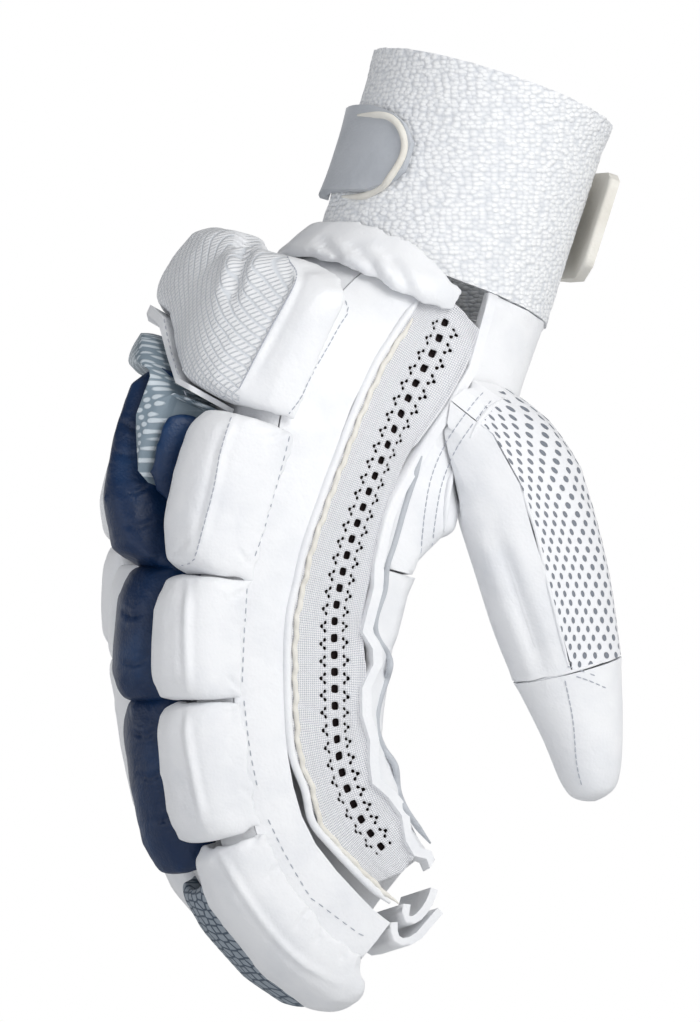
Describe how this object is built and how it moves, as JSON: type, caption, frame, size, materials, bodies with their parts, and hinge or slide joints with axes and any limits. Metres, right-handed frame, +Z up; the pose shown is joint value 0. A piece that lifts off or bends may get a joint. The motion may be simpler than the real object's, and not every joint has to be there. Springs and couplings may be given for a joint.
{
  "type": "cricket batting glove",
  "caption": "Right-hand cricket batting glove with block pads on the fingers, a guard pad over the hand, a knitted cuff and a vented side.",
  "frame": {"origin": "middle of the cuff's mouth, where the wrist goes in", "axes": "+Z up along the hanging glove towards the wrist, +X to the palm side, -Y to the index and thumb side"},
  "size_m": [0.1656, 0.1122, 0.2883],
  "materials": {
    "cuff_knit": "matt",
    "badge_rubber": "matt",
    "cream_fabric": "matt",
    "white_leather": "satin",
    "white_knit": "matt",
    "guard_leather": "satin",
    "silver_panel": "satin",
    "grey_leather": "satin",
    "navy_leather": "satin",
    "net_fabric": "matt",
    "thumb_mesh": "matt"
  },
  "bodies": {
    "root": {"cuff": "cuff_knit", "badge_tab": "badge_rubber", "strap_tab": "cream_fabric", "wrist_roll": "white_leather", "side_leather": "white_leather", "knit_gusset": "white_knit", "palm_welt": "white_leather", "palm_leather": "white_leather", "back_leather": "white_leather", "index_stall": "white_leather", "middle_stall": "white_leather", "ring_stall": "white_leather", "little_stall": "white_leather", "guard_pad": "guard_leather", "guard_flange": "white_leather", "knuckle_panel": "silver_panel", "tip_fold_inner": "grey_leather", "tip_fold_outer": "grey_leather", "index_block_1": "white_leather", "index_block_2": "white_leather", "index_block_3": "white_leather", "index_block_4": "white_leather", "index_inner_roll": "navy_leather", "middle_roll_1": "navy_leather", "middle_roll_2": "navy_leather", "middle_roll_3": "navy_leather", "middle_tip_pad": "net_fabric", "ring_roll_1": "white_leather", "ring_roll_2": "white_leather", "ring_roll_3": "white_leather", "ring_roll_4": "white_leather", "little_roll_1": "white_leather", "little_roll_2": "white_leather", "little_roll_3": "white_leather", "little_roll_4": "white_leather", "thumb_leather": "white_leather", "thumb_mesh": "thumb_mesh", "thumb_tip_cap": "white_leather"}
  },
  "joints": []
}
